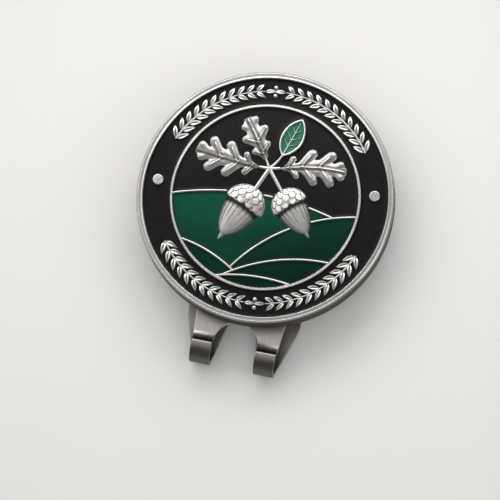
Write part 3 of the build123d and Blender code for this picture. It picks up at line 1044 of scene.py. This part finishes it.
def small_leaf(start, bearing, length, width):
    """A laurel leaf: pointed at both ends, creased along its middle."""
    rows, cols = 15, 9
    t = np.linspace(0, 1, rows)[:, None]
    v = np.linspace(-1, 1, cols)[None, :]
    half = width / 2 * np.sin(pi * t ** 0.8) ** 1.15
    flat = start + ray(bearing) * (length * t)[..., None] \
        + left_of(ray(bearing)) * (half * v)[..., None]
    rise = np.sin(pi * t) ** 0.5
    edge = clamp((1 - np.abs(v)) * 3.0)
    height = 3.12 + rise * (0.24 * np.sqrt(1 - (1 - edge) ** 2) - 0.10 * bell(v, 0.16))
    polish_and_painted_light = clamp(1.15 - 0.8 * bell(v, 0.2)) + 0 * t
    # painted shade along the crease
    return relief(np.dstack([flat, height]), ROOT, polish_and_painted_light, 0.5 * bell(v, 0.14) + 0 * t)


def laurel_spray(start, stop, pairs):
    """Half a laurel garland in the band: a stem along the band's middle circle from one
    bearing to another, with pairs of leaves set off it."""
    count = 60
    angle = np.linspace(start, stop, count)
    out = [bead(STUD_CIRCLE * ray(angle), np.linspace(0.34, 0.20, count), 3.33, 0.13)]
    way = np.sign(stop - start)
    for i, place in enumerate(np.linspace(start, stop, pairs)):
        foot = STUD_CIRCLE * ray(place)
        forward = place + way * pi / 2
        small = 1.0 - 0.22 * (i / (pairs - 1)) ** 2
        if i == pairs - 1:
            out.append(small_leaf(foot, forward + way * 0.04, 1.75, 0.74))
            continue
        for side in (1, -1):
            lean = forward + side * radians(37)
            out.append(small_leaf(foot + 0.10 * ray(lean), lean, 2.05 * small, 0.92 * small))
    return out


def laurel():
    """Four sprays: two meet at the top of the band and two at the bottom."""
    out = []
    for start, stop in ((29, 84.5), (151, 95.5), (209, 264.5), (331, 275.5)):
        out += laurel_spray(radians(start), radians(stop), 12)
    for bearing in (90, 270):
        for offset, reach in ((0, 0.62), (0, -0.62), (2.1, 0), (-2.1, 0)):
            out.append(bud((STUD_CIRCLE + reach) * ray(radians(bearing + offset)), 0.33, 3.38))
    return out


leaves, nuts = oak_leaves(), acorns()
relief_lines = raised_lines(leaves + nuts) + [leaf_wall()] + cell_veins()
for name, skins, slot, finish, stands_for in (
    ("marker_disc", [marker_disc()], "nickel_plate", nickel, ["marker_body"]),
    ("inner_ring", [inner_ring()], "nickel_plate", nickel, ()),
    ("band_studs", studs(), "nickel_plate", nickel, ()),
    ("raised_lines", relief_lines, "nickel_plate", nickel, ()),
    ("band_enamel_fill", [band_fill()], "black_enamel", black, ["band_enamel"]),
    ("sky_enamel_fill", [cell_fill(None)], "black_enamel", black, ["sky_enamel"]),
    ("leaf_enamel_fill", [leaf_fill()], "bright_green_enamel", bright_green, ["leaf_enamel"]),
    *((mound + "_enamel_fill", [cell_fill(mound)], "green_enamel", dark_greens[mound],
       [mound + "_enamel"]) for mound in MOUNDS),
    ("oak_twigs", oak_twigs(), "nickel_plate", carved, ()),
    ("oak_leaves", leaves, "nickel_plate", carved, ()),
    ("oak_acorns", nuts, "nickel_plate", carved, ()),
    ("laurel_garland", laurel(), "nickel_plate", carved, ()),
):
    build_piece(name, skins, "marker", slot, finish, stands_for)


# ======== Clip: bent spring, cup and magnet ========

def strip_stations():
    """Stations along the strip's middle line, from the head's far edge to the lip: distance,
    place across and up, and heading. A bend has a station every few degrees."""
    flare_reach = (FLARE_BEND + CREASE_BEND) * sin(radians(FLARE_TURN))
    moves = [                  # length and no turn, or a bend's radius and its turn
        (HEAD + CURL_DROP - flare_reach, 0), (FLARE_BEND, -FLARE_TURN),
        (CREASE_BEND, FLARE_TURN), (curl_bend, 90), (curl_bend, 90), (TONGUE_FLAT, 0),
        (NIP_BEND, NIP_TURN), (nip_run, 0), (NIP_BEND, -NIP_TURN - LIP_TURN), (LIP_LONG, 0),
    ]
    place, heading, distance = np.array([HEAD, -SHEET / 2]), 180.0, 0.0
    out, marks = [(0.0, *place, heading)], [0]
    for size, turn in moves:
        if turn == 0:
            place, distance = place + size * ray(radians(heading)), distance + size
            out.append((distance, *place, heading))
        else:
            arm = np.sign(turn) * size
            centre = place + arm * left_of(ray(radians(heading)))
            steps = max(2, int(round(abs(turn) / BEND_STEP)))
            for k in range(1, steps + 1):
                now = heading + turn * k / steps
                place = centre - arm * left_of(ray(radians(now)))
                out.append((distance + size * radians(abs(turn)) * k / steps, *place, now))
            heading, distance = heading + turn, out[-1][0]
        marks.append(len(out) - 1)
    return np.array(out), marks


def mirrored_loop(half):
    """A closed outline from its right half, which runs from the middle to the middle."""
    other = half[::-1] * [-1, 1]
    return np.vstack([half[:-1] if abs(half[-1, 0]) < 1e-9 else half,
                      other[:-1] if abs(half[0, 0]) < 1e-9 else other])


def along_strip(points, stations, low, high):
    """Outline points seen from above become points on the blank, between two stations; the
    stations' own distances are added, so that every bend's edge is a corner of the outline."""
    part = stations[low:high + 1]
    order = np.argsort(part[:, 1])
    distance = np.interp(points[:, 1], part[order, 1], part[order, 0])
    forward = distance[-1] > distance[0]
    inside = part[(part[:, 0] > distance.min() + 0.02) & (part[:, 0] < distance.max() - 0.02), 0]
    keep = [not np.any(np.abs(inside - d) < 0.03) for d in distance]
    keep[0] = keep[-1] = True
    rising = np.argsort(distance)
    across = np.interp(inside, distance[rising], points[rising, 0])
    both = np.vstack([np.stack([points[keep, 0], distance[keep]], -1),
                      np.stack([across, inside], -1)])
    both = both[np.argsort(both[:, 1], kind="stable")]
    return both if forward else both[::-1]


def blank_outline(front, rear, stations, lowest, end=None):
    """A closed outline on the blank. Its right half is given as seen from above: front from the
    middle down to the curl's lowest station, and rear from there back to the middle."""
    front = along_strip(front, stations, 0, lowest)
    rear = along_strip(rear, stations, lowest, len(stations) - 1)
    end = rear[-1, 1] if end is None else end
    return mirrored_loop(np.vstack([front, rear[1:], [[0, end]]]))


def outer_outline(stations, lowest):
    """The blank's outside: round head, neck, legs past the curl, and the broad tongue."""
    step, away = ray(LEG_FLARE)[::-1], ray(LEG_FLARE) * [1, -1]
    leg = np.array([LEG_WIDE + LEG_GAP / 2, -CURL_DROP])
    # the neck's arc touches the leg's edge and the round head
    base = leg + NECK_ROUND * away
    root = np.sqrt((base @ step) ** 2 - base @ base + (HEAD + NECK_ROUND) ** 2)
    centres = [base + (sign * root - base @ step) * step for sign in (1, -1)]
    centre = max((c for c in centres if c[1] < 0), key=lambda c: c[1])
    touch = np.arctan2(centre[1], centre[0])
    head = HEAD * ray(np.linspace(0, pi / 2 - touch, 70))[:, ::-1]
    neck = centre + NECK_ROUND * ray(np.linspace(touch + pi, pi - LEG_FLARE, 16)[1:])
    low_point, start = stations[lowest, 1], -CURL_DROP - SPREAD_START
    half = TONGUE_WIDE / 2
    spread = (half - leg[0]) / tan(TONGUE_FLARE)
    rear = rounded([
        (leg[0], low_point, 0), (leg[0], start, SPREAD_ROUND), (half, start + spread, spread),
        (half, tongue_end, TONGUE_ROUND), (0, tongue_end, 0),
    ], 12, 0)
    front = np.vstack([head, neck, leg, [leg[0], low_point]])
    return blank_outline(front, rear[:-1], stations, lowest, stations[-1, 0])


def slot_outline(stations, lowest):
    """The slot between the legs: round arch in front, straight sides, tapered arch behind."""
    half, low_point = LEG_GAP / 2, stations[lowest, 1]
    arch = half * ray(np.linspace(0, pi / 2, 22))[:, ::-1] - [0, ARCH_DROP]
    narrow = half - REAR_ARCH * tan(REAR_TAPER)
    start = -CURL_DROP - SPREAD_START
    rear = rounded([(half, low_point, 0), (half, start, 1.2),
                    (narrow, start + REAR_ARCH, REAR_ROUND), (0, start + REAR_ARCH, 0)], 12, 0)
    return blank_outline(np.vstack([arch, [half, low_point]]), rear[:-1], stations, lowest)


def outward_of(loop, is_hole):
    """The loop, run so that the sheet lies on its left, with its outward directions."""
    after = np.roll(loop, -1, 0)
    area = np.sum(loop[:, 0] * after[:, 1] - after[:, 0] * loop[:, 1])
    if (area > 0) == is_hole:
        loop = loop[::-1]
    before, after = np.roll(loop, 1, 0), np.roll(loop, -1, 0)
    tangent = unit(unit(loop - before) + unit(after - loop))
    return loop, np.stack([tangent[:, 1], -tangent[:, 0]], -1)


def bent(blank, height, normal, stations):
    """Blank points (across, distance) at a height off the middle, and their directions, laid
    on the bent strip: the strip's heading turns what was flat."""
    place, up, heading = (np.interp(blank[:, 1], stations[:, 0], stations[:, i])
                          for i in (1, 2, 3))
    along = np.insert(ray(np.radians(heading)), 0, 0, 1)
    front = np.insert(-left_of(along[:, 1:]), 0, 0, 1)
    points = np.column_stack([blank[:, 0], place, up]) + front * height
    way = normal[:, :1] * [1, 0, 0] + normal[:, 1:2] * along + normal[:, 2:] * front
    return points, unit(way)


def spring_sheet():
    """The clip's sheet: the blank's outlines, set in by the edge rounding, are filled with
    triangles for both faces, joined round each edge by a rounded wall, and bent."""
    stations, marks = strip_stations()
    lowest = marks[4]
    hole = [0, HEAD] + CUP_IN * ray(np.linspace(0, 2 * pi, 120, endpoint=False)) * [1, -1]
    loops = [(*outward_of(outer_outline(stations, lowest), False), SHEARED),
             (*outward_of(slot_outline(stations, lowest), True), SHEARED),
             (*outward_of(hole, True), DRAWN)]
    tilts = np.radians([90, 67.5, 45, 22.5, 0, 0, -22.5, -45, -67.5, -90])
    shine = [0, 0.6, 1, 1, 0.5, 0.5, 1, 1, 0.6, 0]
    points, normals, blank, faces, fronts, backs, edge_shine = [], [], [], [], [], [], []
    total = first = 0
    edges = []
    for loop, outward, radius in loops:
        count = len(loop)
        for k, tilt in enumerate(tilts):
            flat = loop - outward * radius * (1 - cos(tilt))
            height = (1 if k < 5 else -1) * (SHEET / 2 - radius) + radius * sin(tilt)
            normal = np.column_stack([outward * cos(tilt), np.full(count, sin(tilt))])
            at, facing = bent(flat, height, normal, stations)
            points.append(at), normals.append(facing), blank.append(flat)
        faces += (np.array(grid_faces(len(tilts), count, True)) + total).tolist()
        fronts += range(total, total + count)
        total += len(tilts) * count
        backs += range(total - count, total)
        edges += [(first + i, first + (i + 1) % count) for i in range(count)]
        first += count
        edge_shine.append(np.repeat(shine, count))
    points, normals = np.vstack(points), np.vstack(normals)
    rims = [loop - outward * radius for loop, outward, radius in loops]
    corners = np.vstack(rims)

    def on_blank(spots):
        """Which places lie inside the blank's outside and outside its two openings."""
        outside, slot, hole = (inside_loop(spots, rim) for rim in rims)
        return outside & ~slot & ~hole

    # every bend's edge is an edge of the fill, from rim to rim
    for distance in stations[marks[1]:, 0]:
        on_it = np.flatnonzero(np.abs(corners[:, 1] - distance) < 0.012)
        on_it = on_it[np.argsort(corners[on_it, 0])]
        ends = np.stack([on_it[:-1], on_it[1:]], -1)
        edges += [tuple(pair) for pair in ends[on_blank(corners[ends].mean(1))].tolist()]
    fill = delaunay_2d_cdt([Vector(c) for c in corners.tolist()], edges, [], 0, 1e-7)
    source = [origin[0] if origin else -1 for origin in fill[3]]
    kept = np.array([[source[i] for i in triangle] for triangle in fill[2]])
    kept = kept[kept.min(1) >= 0]
    kept = kept[on_blank(corners[kept].mean(1))]
    faces += np.array(fronts)[kept].tolist() + np.array(backs)[kept].tolist()

    def agreeing(face):
        """The face, run the way round that its corners' directions ask for."""
        corner = points[face]
        facing = np.cross(corner[2] - corner[0], corner[-1] - corner[1])
        return face if facing @ normals[face].sum(0) > 0 else face[::-1]

    blank = np.vstack(blank)
    flare, crest, under, back = (stations[marks[k], 0] for k in (1, 2, 4, 5))
    # painted shade and painted reflection along the strip: a little over the flare, dark just
    # before and on the crest, lighter just below it, dark round the curl's underside, fading along
    # the tongue
    tone = np.interp(blank[:, 1],
                     [flare - 0.4, flare + 0.3, crest - 0.6, crest - 0.35, crest + 0.12,
                      crest + 0.42, crest + 1.25, under, back, back + 6],
                     [0.0, 0.25, 0.60, 0.93, 0.93, 0.50, 0.86, 0.95, 0.82, 0.15])
    return skin(points, [agreeing(face) for face in faces], blank * 0.1,
                np.concatenate(edge_shine), tone), normals


def drawn_cup():
    """The cup pressed down from the head plate: inner wall and floor, outer wall and base."""
    wall, out = CUP_IN - 0.008, CUP_IN + SHEET
    inner, base = -CUP_DEEP, -CUP_DEEP - SHEET
    mouth, lap = -0.30, 0.25                    # where the wall meets the plate, and how far in
    profile = rounded([
        (0, inner, 0), (wall, inner, 0.18), (wall, mouth, 0), (CUP_IN + lap, mouth, 0),
        (out + lap, -SHEET + 0.01, 0), (out + lap, -SHEET, 0), (out, -SHEET - 0.001, 0.24),
        (out, base, 0.85), (0, base, 0),
    ], 8)
    return turned(profile, 120)


def magnet_disc():
    """The magnet: a flat plated disc with a small round edge."""
    low, high, radius = -1.1, 0.1, 6.0
    profile = rounded([(0, low, 0), (radius, low, 0.15), (radius, high, 0.15), (0, high, 0)], 6)
    return turned(profile, 120)


sheet_skin, sheet_normals = spring_sheet()
build_piece("spring_sheet", [sheet_skin], "clip", "spring_steel", steel, ["clip_spring"],
            sheet_normals)
build_piece("magnet_cup", [drawn_cup()], "clip", "spring_steel", steel)
build_piece("plated_magnet", [magnet_disc()], "clip", "magnet_plate", plated, ["magnet"])
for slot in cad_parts["magnet_adhesive"].material_slots:
    slot.material = resin


# ======== Floor, light and camera ========

def flat_finish(name, colour, rough):
    """A matt finish with a slow, faint drift in tone."""
    mix = new_finish(name)
    tone = mix.blend(mix.noise(mix.place(), 3.0, 3.0), colour, [c * 0.97 for c in colour])
    return mix.done(Base_Color=tone, Roughness=rough)


floor_mesh = bpy.data.meshes.new("floor")
FLOOR_REACH, FLOOR_DROP = 4.0, 2e-5
floor_mesh.from_pydata([(x * FLOOR_REACH, y * FLOOR_REACH, -FLOOR_DROP) for x, y in
                        ((-1, -1), (1, -1), (1, 1), (-1, 1))], [], [(0, 1, 2, 3)])
floor_mesh.materials.append(flat_finish("pale_floor", (0.72, 0.715, 0.705), 0.8))
floor = in_scene("floor", floor_mesh)

studio = Recipe(bpy.data.worlds.new("studio"), "Background")
bpy.context.scene.world = studio.owner
way = studio.add("TexCoord").outputs["Generated"]
height = studio.add("SeparateXYZ", {0: way}).outputs["Z"]
sky = studio.ramp(height, [(0.0, 0.50), (0.35, 0.66), (0.80, 0.80), (1.0, 0.80)])
# what metal mirrors: a wide bright panel overhead, a little ahead, in a darker room
panel = Vector((-0.10, 0.22, 0.97)).normalized()
overhead = studio.add("VectorMath", {0: way, 1: panel}, operation="DOT_PRODUCT").outputs["Value"]
room = studio.ramp(overhead, [(0.0, 0.32), (0.35, 0.20), (0.60, 0.20), (0.78, 0.32),
                              (0.90, 0.43), (1.0, 0.45)])
ray_kind = studio.add("LightPath").outputs
mirrored = studio.blend(ray_kind["Is Glossy Ray"], sky, room)
studio.done(Color=studio.blend(ray_kind["Is Camera Ray"], mirrored, (0.80, 0.80, 0.80)))


def towards(azimuth, elevation):
    """The way to something at a bearing and an elevation, in degrees."""
    a, e = radians(azimuth), radians(elevation)
    return Vector((sin(a) * cos(e), -cos(a) * cos(e), sin(e)))


def softbox(name, azimuth, elevation, distance, size, watts, colour=(1, 1, 1)):
    """An area lamp that looks at the frame's origin from a bearing and an elevation."""
    lamp = bpy.data.lights.new(name, "AREA")
    lamp.shape, lamp.size, lamp.size_y = "RECTANGLE", size[0], size[1]
    lamp.energy, lamp.color = watts, colour
    holder, way = in_scene(name, lamp), towards(azimuth, elevation)
    holder.location = way * distance
    holder.rotation_euler = way.to_track_quat("Z", "Y").to_euler()
    return holder


softbox("key_softbox", 238, 48, 0.8, (0.6, 0.6), 1.3, (1.0, 0.985, 0.96))
near = softbox("near_softbox", 190, 50, 0.11, (0.12, 0.05), 0.0155, (1.0, 0.99, 0.97))
near.data.spread = radians(90)
softbox("far_softbox", 170, 28, 0.9, (0.6, 0.3), 0.8, (0.97, 0.985, 1.0))
softbox("right_softbox", 80, 30, 0.9, (0.35, 0.6), 0.7)

CAMERA_BEARING, CAMERA_ELEVATION, CAMERA_ROLL = 30.0, 76.010, radians(-18.104)
CAMERA_REACH, CAMERA_RIGHT, CAMERA_UP = 0.570, -0.002205, -0.007851     # metres
FRAME_WIDE, FOCAL_WIDTHS = 36.0, 3884.94 / 500      # sensor, and focal length in its widths
camera_data = bpy.data.cameras.new("camera")
camera_data.sensor_width, camera_data.lens = FRAME_WIDE, FOCAL_WIDTHS * FRAME_WIDE
camera_data.clip_start, camera_data.clip_end = 0.01, 20.0
camera = in_scene("camera", camera_data)
back = towards(CAMERA_BEARING, CAMERA_ELEVATION)
right = Vector((cos(radians(CAMERA_BEARING)), sin(radians(CAMERA_BEARING)), 0))
up = back.cross(right)
across = right * cos(CAMERA_ROLL) + up * sin(CAMERA_ROLL)
upward = up * cos(CAMERA_ROLL) - right * sin(CAMERA_ROLL)
look = Vector((0, marker_place[1] * MM, (marker_place[2] + THICK) * MM))
spot = look + back * CAMERA_REACH + across * CAMERA_RIGHT + upward * CAMERA_UP
camera.matrix_world = (Matrix.Translation(spot)
                       @ Matrix((across, upward, back)).transposed().to_4x4())
bpy.context.scene.camera = camera
bpy.context.scene.view_settings.view_transform = "Standard"
